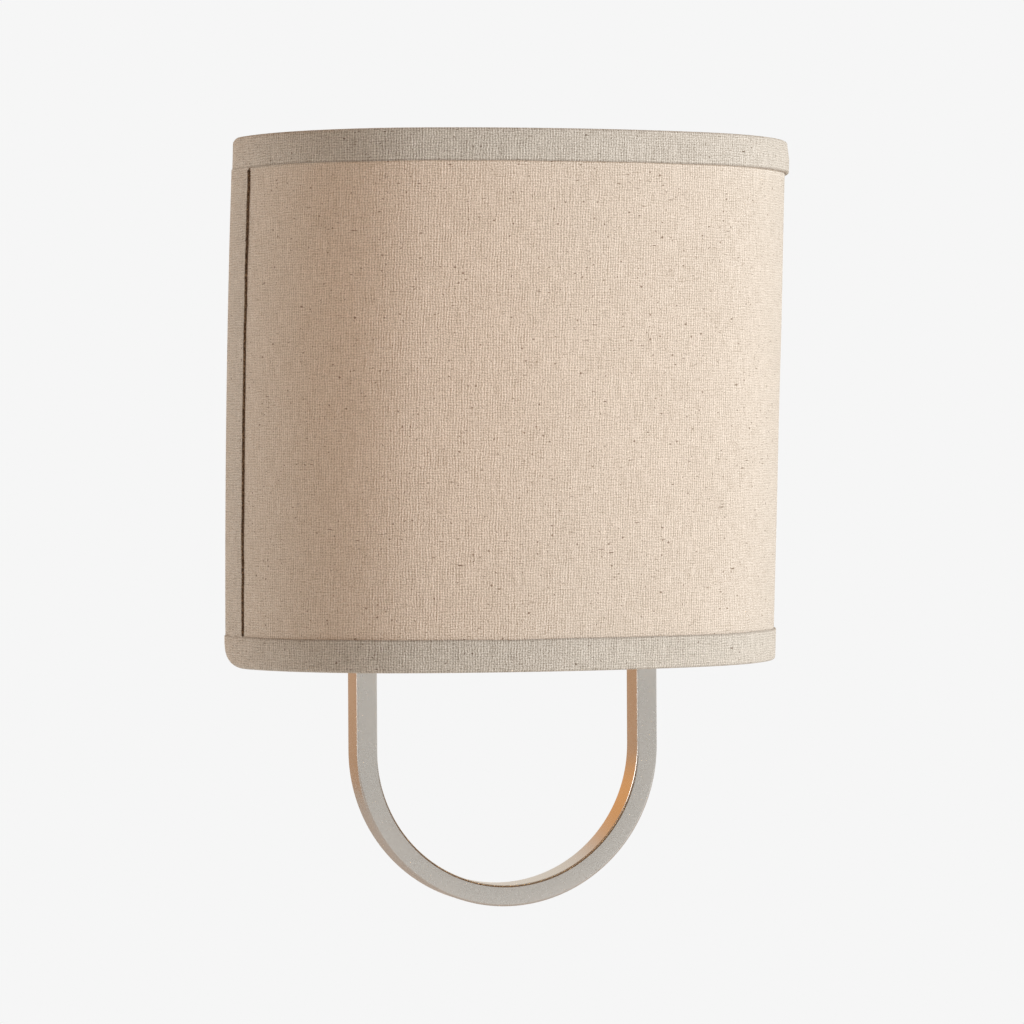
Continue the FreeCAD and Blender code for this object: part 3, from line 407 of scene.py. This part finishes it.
# the shade's plan is three arcs, walked by distance along the cloth from its left rear edge
clothLow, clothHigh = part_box("shade_fabric")
shade = {
    "sideRadius": 0.086,
    "rack": 0.02525,                    # the soft frame leans to the right as it goes up
    "flare": 0.0422,                    # and it is a little wider at the top, per metre
    "bow": (0.0008, 0.094),             # its left side swells between these heights above and below
    "aside": 0.0004,                    # and it sits a little to the right of the bar's middle
    "wall": 0.0006,
    "liner": 0.0006,
    "wire": 0.003,
    "topCorner": (0.0085, 0.0042),      # run and rise of each rounded rear corner
    "bottomCorner": (0.022, 0.0085),
    "cornerSteps": 18,
    "bendSteps": 8,                     # of a wire's quarter bend
    "roundness": 0.49,                  # of a wire's size: near half, its section is round
    "step": 0.0025,
    "uneven": (22, 14, 0.0003),         # waves per metre along and up the cloth, and their height
    "sharp": 50,                        # degrees, past which an edge of the cloth stays sharp
}
strip = {
    "skin": 0.0009,
    "height": 0.014,
    "sideWidth": 0.0214,                # the strips up the rear edges lap further
    "turnIn": 0.008,
    "rollDepth": 0.0020,                # from the outline's edge down to where the roll begins
    "rollPower": 3.4,                   # above 2, the roll is squarer than an ellipse
    "standOff": (-0.0001, 0.0012),      # how far the top strip stands off the cloth, left and right
    "beyond": (0.0004, 0.0007),         # the folds stand this far past the CAD edge, top and bottom
    "shortEnd": 0.0026,                 # the top strip stops this far inside the rear edge's fold
    "rollSteps": 9,
    "tuck": (0.0020, 0.0020 / 3),       # side strips run this far under the bottom and top ones
    "sideSkin": 0.8,                    # of the skin, at most, so that the others lie over them
    "cutFront": (0.0002, 0.0006),       # the cut edge's easing in front, in depth and in height
    "cutBack": (0.0003, 0.0015),        # and behind
    "lineUneven": (30, 0.0003),         # waves per metre along the strip's line, and their height
    "faceUneven": (45, 0.0002),         # and along its face
}
halfWidth, rear, deep = clothHigh.x, clothHigh.y, clothHigh.y - clothLow.y
sideX = halfWidth - shade["sideRadius"]
frontRadius = (sideX ** 2 + deep ** 2 - shade["sideRadius"] ** 2) / (2 * (deep - shade["sideRadius"]))
frontTurn = math.asin(sideX / (frontRadius - shade["sideRadius"]))
sideRun = shade["sideRadius"] * (math.pi / 2 - frontTurn)
girth = 2 * sideRun + 2 * frontRadius * frontTurn
wallStack = shade["wall"] + shade["liner"]
foldReach = strip["skin"] + shade["wire"] / 2
wireInset = wallStack + shade["wire"] / 2


def planPoint(distance, outward):
    if distance < 0:
        return -halfWidth - outward, rear - distance
    if distance > girth:
        return halfWidth + outward, rear + distance - girth
    if distance < sideRun:
        centre, radius = (-sideX, rear), shade["sideRadius"]
        angle = math.pi + distance / radius
    elif distance < girth - sideRun:
        centre, radius = (0, rear - deep + frontRadius), frontRadius
        angle = 1.5 * math.pi - frontTurn + (distance - sideRun) / radius
    else:
        centre, radius = (sideX, rear), shade["sideRadius"]
        angle = 2 * math.pi - (girth - distance) / radius
    reach = radius + outward
    return centre[0] + reach * math.cos(angle), centre[1] + reach * math.sin(angle)


def racked(x, y, z):
    swell, level = shade["bow"]
    bowed = swell * (1 - (z / level) ** 2) * min(0.0, x) / halfWidth
    return Vector((x * (1 + shade["flare"] * z) + shade["rack"] * z + bowed + shade["aside"], y, z))


def shadePoint(distance, outward, height):
    return racked(*planPoint(distance, outward), height)


def cornerCut(distance, corner):
    # how far the outline has dropped at a place near a rear corner, along a quarter ellipse
    run, rise = corner
    back = max(0.0, min(distance, girth - distance) + foldReach)
    return rise * (1 - math.sqrt(1 - (1 - back / run) ** 2)) if back < run else 0.0


def stations(first, last, step):
    count = max(2, math.ceil((last - first) / step))
    return [first + (last - first) * n / count for n in range(count + 1)]


def cornerStations(start=0.0):
    # closer together near the rear corners, where the outline curves down
    near, count = max(shade["topCorner"][0], shade["bottomCorner"][0]), shade["cornerSteps"]
    end = [start + (near - start) * (1 - math.cos(math.pi / 2 * n / count)) for n in range(count)]
    return end + stations(near, girth - near, shade["step"]) + [girth - d for d in end[::-1]]


def waver(*place, size):
    # a small smooth unevenness, the same at the same place
    return size * noise.noise(Vector(place))


def newObject(name, mesh, material):
    piece = bpy.data.objects.new(name, mesh)
    scene.collection.objects.link(piece)
    mesh.materials.append(material)
    return piece


def finishPiece(piece, body, node=None):
    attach(piece, body)
    if node:
        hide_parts(node)
    return piece


def sweptCloth(name, rows, uvs, material):
    # rows of points, one closed outline each, joined one to the next and capped at both ends
    mesh = bpy.data.meshes.new(name)
    size = len(rows[0])
    faces, marks = [], []
    for r in range(len(rows) - 1):
        for c in range(size):
            d = (c + 1) % size
            faces.append((r * size + c, (r + 1) * size + c, (r + 1) * size + d, r * size + d))
            marks += [uvs[r][c], uvs[r + 1][c], uvs[r + 1][c + 1], uvs[r][c + 1]]
    for r, flip in ((0, 1), (len(rows) - 1, -1)):
        faces.append(tuple(r * size + c for c in range(size))[::flip])
        marks += [uvs[r][c] for c in range(size)][::flip]
    mesh.from_pydata([point for row in rows for point in row], [], faces)
    layer = mesh.uv_layers.new(name="cloth")
    for corner, mark in zip(layer.data, marks):
        corner.uv = mark
    fixNormals(mesh)
    mesh.polygons.foreach_set("use_smooth", [True] * len(mesh.polygons))
    mesh.set_sharp_from_angle(angle=math.radians(shade["sharp"]))
    return newObject(name, mesh, material)


def fixNormals(mesh):
    grid = bmesh.new()
    grid.from_mesh(mesh)
    bmesh.ops.recalc_face_normals(grid, faces=grid.faces)
    grid.to_mesh(mesh)
    grid.free()


def panelPiece(name, node, outer, inner):
    low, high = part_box(node)
    levels = stations(low.z, high.z, shade["step"] * 3)
    alongRate, upRate, size = shade["uneven"]
    rows, uvs = [], []
    for distance in cornerStations():
        top, bottom = (cornerCut(distance, shade[k]) for k in ("topCorner", "bottomCorner"))
        heights = [min(max(z, low.z + bottom), high.z - top) for z in levels]
        outline = [(outer, z) for z in heights[::-1]] + [(inner, z) for z in heights]
        rows.append([
            shadePoint(distance, o + waver(distance * alongRate, z * upRate, 3, size=size), z)
            for o, z in outline])
        uvs.append([(distance, z) for o, z in outline + outline[:1]])
    return finishPiece(sweptCloth(name, rows, uvs, materials[slots[node]]), "shade", node)


def stripOutline(place, line, cut=0.0, lift=0.0, stand=0.0):
    # section of a folded strip as (outward, back from the folded edge) pairs
    skin, stack = strip["skin"], wallStack + shade["wire"]
    middle, power = -stack / 2, 2 / strip["rollPower"]
    (lineRate, lineSize), (faceRate, faceSize) = strip["lineUneven"], strip["faceUneven"]
    line += waver(place * lineRate, lift, 0, size=lineSize)
    face = skin + stand + waver(place * faceRate, lift, 2, size=faceSize)

    def roll(half, start, depth):
        turns = [math.pi * n / strip["rollSteps"] for n in range(strip["rollSteps"] + 1)]
        return [(middle + half * math.copysign(abs(math.cos(t)) ** power, math.cos(t)),
                 start + depth * (1 - math.sin(t) ** power) + cut) for t in turns]

    depth = strip["rollDepth"]
    (frontDepth, frontHeight), (backDepth, backHeight) = strip["cutFront"], strip["cutBack"]
    outline = [(face - frontDepth, line), (face, line - frontHeight),
               (face, (line + depth + cut) / 2)]
    outline += roll(stack / 2 + skin, 0, depth)
    outline += [(-stack - skin, strip["turnIn"] + cut), (-stack, strip["turnIn"] + cut)]
    outline += roll(stack / 2, skin, depth)[::-1]
    return outline + [(0.0, line - backHeight), (backDepth, line)]


def runningMarks(outline):
    marks = [0.0]
    for here, there in zip(outline, outline[1:] + outline[:1]):
        marks.append(marks[-1] + math.dist(here, there))
    return marks


def flatWidth(line):
    # of the strip before it was folded: once round the outside of its section
    folded = 3 + strip["rollSteps"] + 1         # the face's three points and the roll's outer side
    return runningMarks(stripOutline(0, line))[folded]


def edgeStrip(name, node, up, corner):
    # along the top or the bottom, rolled over the wire
    low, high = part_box(node)
    edge = high.z + strip["beyond"][0] if up > 0 else low.z - strip["beyond"][1]
    left, right = strip["standOff"] if up > 0 else (0.0, 0.0)
    rows, uvs = [], []
    for distance in cornerStations(strip["shortEnd"] - foldReach if up > 0 else -foldReach):
        along = max(0.0, min(1.0, distance / girth))
        stand = left * (1 - along) ** 2 + right * max(0.0, 2 * along - 1)
        outline = stripOutline(distance, strip["height"], cornerCut(distance, corner), up, stand)
        rows.append([shadePoint(distance, o, edge - up * d) for o, d in outline])
        uvs.append([(distance, m) for m in runningMarks(outline)])
    piece = sweptCloth(name, rows, uvs, materials["trim_cloth"])
    return finishPiece(piece, "shade", node)


def sideStrip(name, node, side):
    # up a rear edge, rolled over the upright, with its ends under the top and bottom strips
    low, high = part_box(node)
    start, end = low.z - strip["tuck"][0], high.z + strip["tuck"][1]
    rows, uvs = [], []
    for height in stations(start, end, shade["step"] * 2):
        outline = [(min(o, strip["skin"] * strip["sideSkin"]), d)
                   for o, d in stripOutline(height, strip["sideWidth"], 0, side * 3)]
        places = [d - foldReach if side < 0 else girth - d + foldReach for o, d in outline]
        rows.append([shadePoint(place, o, height) for place, (o, d) in zip(places, outline)])
        uvs.append([(m, height - low.z + strip["tuck"][0]) for m in runningMarks(outline)])
    piece = sweptCloth(name, rows, uvs, materials["trim_cloth"])
    return finishPiece(piece, "shade", node)


panelPiece("shadeCloth", "shade_fabric", 0.0, -shade["wall"])
panelPiece("shadeLiner", "shade_liner", -shade["wall"], -wallStack)
edgeStrip("topTrim", "top_trim", 1, shade["topCorner"])
edgeStrip("bottomTrim", "bottom_trim", -1, shade["bottomCorner"])
sideStrip("leftTrim", "left_trim", -1)
sideStrip("rightTrim", "right_trim", 1)
print("shade cloth and trims made")


def barTree():
    tree = bpy.data.node_groups.new("barAlongPath", "GeometryNodeTree")
    for label, kind in (("Path", "Geometry"), ("Width", "Float"), ("Depth", "Float"),
                        ("Corner", "Float"), ("Steps", "Int"), ("Facing", "Vector"),
                        ("Material", "Material")):
        tree.interface.new_socket(label, in_out="INPUT", socket_type=f"NodeSocket{kind}")
    tree.interface.new_socket("Bar", in_out="OUTPUT", socket_type="NodeSocketGeometry")
    given = tree.nodes.new("NodeGroupInput").outputs
    line = addNode(tree, "GeometryNodeMeshToCurve", {"Mesh": given["Path"]})
    faced = addNode(tree, "GeometryNodeSetCurveNormal", {
        "Curve": line.outputs[0], "Normal": given["Facing"]}, mode="FREE")
    flat = addNode(tree, "GeometryNodeCurvePrimitiveQuadrilateral", {
        "Width": given["Depth"], "Height": given["Width"]})
    section = addNode(tree, "GeometryNodeFilletCurve", {
        "Curve": flat.outputs[0], "Count": given["Steps"], "Radius": given["Corner"]}, mode="POLY")
    swept = addNode(tree, "GeometryNodeCurveToMesh", {
        "Curve": faced.outputs[0], "Profile Curve": section.outputs[0], "Fill Caps": True})
    whole = addNode(tree, "GeometryNodeRealizeInstances", {"Geometry": swept.outputs[0]})
    dressed = addNode(tree, "GeometryNodeSetMaterial", {
        "Geometry": whole.outputs[0], "Material": given["Material"]})
    out = tree.nodes.new("NodeGroupOutput").inputs
    tree.links.new(dressed.outputs[0], out["Bar"])
    return tree


alongPath = barTree()


def barPiece(name, path, width, depth, corner, material, steps=3):
    mesh = bpy.data.meshes.new(name)
    mesh.from_pydata(path, [(n, n + 1) for n in range(len(path) - 1)], [])
    piece = newObject(name, mesh, material)
    modifier = piece.modifiers.new("alongPath", "NODES")
    modifier.node_group = alongPath
    values = {"Width": width, "Depth": depth, "Corner": corner, "Steps": steps,
              "Facing": (0, -1, 0), "Material": material}
    for item in alongPath.interface.items_tree:
        if item.name in values:
            modifier[item.identifier] = values[item.name]
    weighted = piece.modifiers.new("faceNormals", "WEIGHTED_NORMAL")
    weighted.weight = 100
    view = bpy.context.evaluated_depsgraph_get()
    made = bpy.data.meshes.new_from_object(piece.evaluated_get(view))
    piece.modifiers.clear()
    piece.data = made
    made.polygons.foreach_set("use_smooth", [True] * len(made.polygons))
    made.set_sharp_from_angle(angle=math.radians(60))
    return piece


def arc(centre, radius, first, last, count):
    # in the plane of the two coordinates given, from one angle to another
    turns = [first + (last - first) * n / count for n in range(count + 1)]
    return [(centre[0] + radius * math.cos(t), centre[1] + radius * math.sin(t)) for t in turns]


loop = {
    "face": 0.0094,
    "edge": 0.0010,             # of the eased edges
    "bendSteps": 96,
    "step": 0.01,               # between places along the legs
}


def loopBar():
    low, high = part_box("loop_bar")
    reach = high.x - loop["face"] / 2
    bendAt = low.z + high.x
    turn = arc((0, bendAt), reach, math.pi, 2 * math.pi, loop["bendSteps"])
    legs = [(-reach, z) for z in stations(bendAt, high.z, loop["step"])[:0:-1]]
    route = legs + turn + [(-x, z) for x, z in legs[::-1]]
    depth = high.y - low.y
    path = [(x, low.y + depth / 2, z) for x, z in route]
    piece = barPiece("loopBar", path, loop["face"], depth, loop["edge"], materials["satin_nickel"])
    return finishPiece(piece, "root", "loop_bar")


def frameWire(name, path, node):
    size = shade["wire"]
    corner = size * shade["roundness"]
    piece = barPiece(name, path, size, size, corner, materials["frame_white"], steps=4)
    return finishPiece(piece, "shade", node)


def shadeFrame():
    low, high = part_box("top_front_wire")
    top = (low.z + high.z) / 2
    foot = -top
    side = halfWidth - wireInset
    for name, level, up, corner in (("topFrontWire", top, 1, "topCorner"),
                                    ("bottomFrontWire", foot, -1, "bottomCorner")):
        path = [shadePoint(d, -wireInset, level - up * cornerCut(d, shade[corner]))
                for d in cornerStations()]
        frameWire(name, path, f"{'top' if up > 0 else 'bottom'}_front_wire")
    topRise, footRise = shade["topCorner"][1], shade["bottomCorner"][1]
    count = shade["bendSteps"]
    bends = arc((-side + topRise, top - topRise), topRise, math.pi, math.pi / 2, count)
    path = [racked(x, rear, z) for x, z in bends + [(-x, z) for x, z in bends[::-1]]]
    frameWire("topRearWire", path, "top_rear_wire")
    bends = arc((-side + footRise, foot + footRise), footRise, math.pi, 1.5 * math.pi, count)
    route = [(x, rear, z) for x, z in bends]
    route += [(x, y, foot) for x, y in rearStep()]
    path = [racked(*place) for place in route + [(-x, y, z) for x, y, z in route[::-1]]]
    frameWire("bottomRearWire", path, "bottom_rear_wire")
    for name, sign in (("leftUprightWire", -1), ("rightUprightWire", 1)):
        ends = (foot + footRise, top - topRise)
        frameWire(name, [racked(sign * side, rear, z) for z in ends], "upright_wires")


jog = {"radius": 0.008, "gap": 0.0016, "steps": 5}


def rearStep():
    # the bottom rear wire steps forward round the bar's legs by two tangent bends
    wire, loopLow = shade["wire"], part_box("loop_bar")[0]
    radius, count = jog["radius"], jog["steps"]
    front = loopLow.y - jog["gap"] - wire / 2
    step = rear - front
    run = math.sqrt(4 * radius * step - step ** 2)
    turn = math.acos(1 - step / (2 * radius))
    inner = loopLow.x - jog["gap"]
    outer = inner - run
    first = arc((outer, rear - radius), radius, math.pi / 2, math.pi / 2 - turn, count)
    second = arc((inner, front + radius), radius, 1.5 * math.pi - turn, 1.5 * math.pi, count)
    return first + second[1:]


seam = {
    "size": 0.0012,
    "corner": 0.00055,
    "sink": 0.45,               # of the strip's skin, out from the cloth to its middle
    "ends": (-0.0003, -0.0008), # up from the side strip's own lower and upper ends
    "step": 0.0008,
    "sway": (60, 0.0003),       # waves per metre, and how far they reach
    "fray": (420, 0.00025),
}


def seamEdge(name, side):
    # the strip's raw front edge, brown with size, its dark colour partly painted shadow of the edge's
    # step
    low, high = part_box("left_trim")
    middle = strip["sideWidth"] - foldReach
    if side > 0:
        middle = girth - middle
    (swayRate, sway), (frayRate, fray) = seam["sway"], seam["fray"]
    path = []
    for z in stations(low.z + seam["ends"][0], high.z + seam["ends"][1], seam["step"]):
        place = middle + waver(z * swayRate, side, 5, size=sway)
        place += waver(z * frayRate, side, 9, size=fray)
        path.append(shadePoint(place, strip["skin"] * seam["sink"], z))
    piece = barPiece(name, path, seam["size"], seam["size"], seam["corner"], materials["seam_edge"])
    return finishPiece(piece, "shade")


loopBar()
shadeFrame()
leftSeam = seamEdge("leftSeamEdge", -1)
rightSeam = seamEdge("rightSeamEdge", 1)
print("loop bar, wires and seam edges made")


lamp = {
    "neck": 0.0054,
    "neckRise": 0.0020,
    "shoulder": 0.0050,
    "dome": 0.0095,
    "swellSteps": 10,
    "domeSteps": 12,
    "steps": 48,                # round the axis
    "merge": 1e-6,              # closer points are made one
}


def turnedPiece(name, outline, centre, material):
    # a lathe about an upright axis, from (radius, height) pairs that start and end on the axis
    mesh = bpy.data.meshes.new(name)
    corners, faces, count = [], [], lamp["steps"]
    for radius, height in outline:
        for n in range(count):
            turn = 2 * math.pi * n / count
            corners.append((centre.x + radius * math.cos(turn),
                            centre.y + radius * math.sin(turn), height))
    for r in range(len(outline) - 1):
        for n in range(count):
            m = (n + 1) % count
            faces.append((r * count + n, r * count + m, (r + 1) * count + m, (r + 1) * count + n))
    mesh.from_pydata(corners, [], faces)
    grid = bmesh.new()
    grid.from_mesh(mesh)
    bmesh.ops.remove_doubles(grid, verts=grid.verts, dist=lamp["merge"])
    bmesh.ops.recalc_face_normals(grid, faces=grid.faces)
    grid.to_mesh(mesh)
    grid.free()
    mesh.polygons.foreach_set("use_smooth", [True] * len(mesh.polygons))
    return newObject(name, mesh, material)


def lampGlass(side):
    low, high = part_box(f"{side}_lamp_glass")
    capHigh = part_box(f"{side}_lamp_cap")[1]
    wide, neck = (high.x - low.x) / 2, lamp["neck"]
    shoulder = capHigh.z + lamp["neckRise"]
    rise, count = lamp["shoulder"], lamp["swellSteps"]
    swell = [(neck + (wide - neck) * (1 - math.cos(math.pi * n / count)) / 2,
              shoulder + rise * n / count) for n in range(count + 1)]
    dome = arc((0, high.z - lamp["dome"]), lamp["dome"], 0, math.pi / 2, lamp["domeSteps"])
    outline = [(0, low.z), (neck, low.z)] + swell + [(r * wide / lamp["dome"], z) for r, z in dome]
    piece = turnedPiece(f"{side}LampGlass", outline, (low + high) / 2, materials["frosted_glass"])
    return finishPiece(piece, f"{side}_lamp", f"{side}_lamp_glass")


for lampSide in ("left", "right"):
    lampGlass(lampSide)
print("lamp glasses made")


def declareCloth():
    width = flatWidth(strip["height"])
    width = flatWidth(strip["sideWidth"])


declareCloth()


studio = {
    "backdrop": (0.9216, 0.9216, 0.9216, 1),
    "floorLevel": -0.60,
    "floorRadius": 2.0,
    "floorSides": 96,
    "floorColour": (0.86, 0.86, 0.85, 1),
    "front": (0.180, 0.074, 0.008, 1),
    "horizon": (0.875, 0.890, 0.870, 1),
    "horizonBand": (-0.11, 0.07, 0.22),     # its middle, and its half height where full and where gone
    "behindFrom": (-0.2, 0.8),              # how far back the front gives way to what is behind
    "behindLeft": (0.58, 0.34, 0.19, 1),
    "behindGlow": (0.95, 0.43, 0.12, 1),    # on the left, a little above level
    "glowRise": (-0.05, 0.12),              # heights where it starts and is full
    "glowFall": (0.30, 0.50),               # and where it is still full and is gone
    "behindRight": (0.92, 0.84, 0.74, 1),
    "leftToRight": (-0.24, 0.06),
}
areaLights = {
    "key": {"place": (1.97, -1.79, 0.6), "size": 1.4, "power": 70.5,
            "colour": (0.93, 0.97, 0.995), "shiny": False},     # it would burn out the bar's edges
    "sideFill": {"place": (-1.75, 0.9, 0.3), "size": 1.0, "power": 14,
                 "colour": (0.88, 0.95, 0.98), "shiny": True},
}
lampLight = {
    "power": 0.35,
    "colour": (1.0, 0.70, 0.42),
    "radius": 0.014,
    "above": 0.016,             # the glass's top, so that the glass doesn't shade it
}


def makeFloor():
    mesh = bpy.data.meshes.new("floor")
    count, radius = studio["floorSides"], studio["floorRadius"]
    ring = [(x, y, studio["floorLevel"]) for x, y in arc((0, 0), radius, 0, 2 * math.pi, count)[:-1]]
    mesh.from_pydata(ring, [], [tuple(range(count))])
    floor = newObject("floor", mesh, moulded("floorPaper", studio["floorColour"], 0.8, dust=0.0))


def makeAreaLight(name, given):
    data = bpy.data.lights.new(name, "AREA")
    data.shape, data.size, data.energy, data.color = (
        "DISK", given["size"], given["power"], given["colour"])
    light = bpy.data.objects.new(name, data)
    light.location = given["place"]
    light.rotation_mode = "QUATERNION"
    light.rotation_quaternion = (-Vector(given["place"])).to_track_quat("-Z", "Y")
    light.visible_glossy = given["shiny"]
    scene.collection.objects.link(light)


def makeWorld():
    # a dim warm room in front with a pale band near level, and behind it a coppery left and a
    # pale right, for the metal to reflect
    world = bpy.data.worlds.new("studio")
    scene.world = world
    world.use_nodes = True
    tree = world.node_tree
    tree.nodes.clear()
    direction = addNode(tree, "ShaderNodeTexCoord").outputs["Generated"]
    split = addNode(tree, "ShaderNodeSeparateXYZ", {0: direction})
    behind = spread(tree, split.outputs[1], *studio["behindFrom"], smooth=True)
    toRight = spread(tree, split.outputs[0], *studio["leftToRight"], smooth=True)
    above = maths(tree, "MULTIPLY", spread(tree, split.outputs[2], *studio["glowRise"], smooth=True),
                  spread(tree, split.outputs[2], *studio["glowFall"], 1.0, 0.0, smooth=True))
    toLeft = blendColour(tree, above, studio["behindLeft"], studio["behindGlow"])
    wall = blendColour(tree, toRight, toLeft, studio["behindRight"])
    middle, full, gone = studio["horizonBand"]
    level = maths(tree, "ABSOLUTE", maths(tree, "SUBTRACT", split.outputs[2], middle))
    level = spread(tree, level, full, gone, 1.0, 0.0, smooth=True)
    front = blendColour(tree, level, studio["front"], studio["horizon"])
    room = blendColour(tree, behind, front, wall)
    lit = addNode(tree, "ShaderNodeBackground", {"Color": room, "Strength": 1.0})
    seen = addNode(tree, "ShaderNodeBackground", {"Color": studio["backdrop"], "Strength": 1.0})
    eye = addNode(tree, "ShaderNodeLightPath").outputs["Is Camera Ray"]
    mixed = addNode(tree, "ShaderNodeMixShader", {0: eye, 1: lit.outputs[0], 2: seen.outputs[0]})
    addNode(tree, "ShaderNodeOutputWorld", {"Surface": mixed.outputs[0]})


def makeLampLight(side):
    low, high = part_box(f"{side}_lamp_glass")
    data = bpy.data.lights.new(f"{side}LampLight", "POINT")
    data.energy, data.color, data.shadow_soft_size = (
        lampLight["power"], lampLight["colour"], lampLight["radius"])
    light = bpy.data.objects.new(f"{side}LampLight", data)
    light.location = ((low.x + high.x) / 2, (low.y + high.y) / 2, high.z + lampLight["above"])
    light.visible_glossy = False
    scene.collection.objects.link(light)


makeFloor()
makeWorld()
for lightName, lightGiven in areaLights.items():
    makeAreaLight(lightName, lightGiven)
for lampSide in ("left", "right"):
    makeLampLight(lampSide)
print("light set")
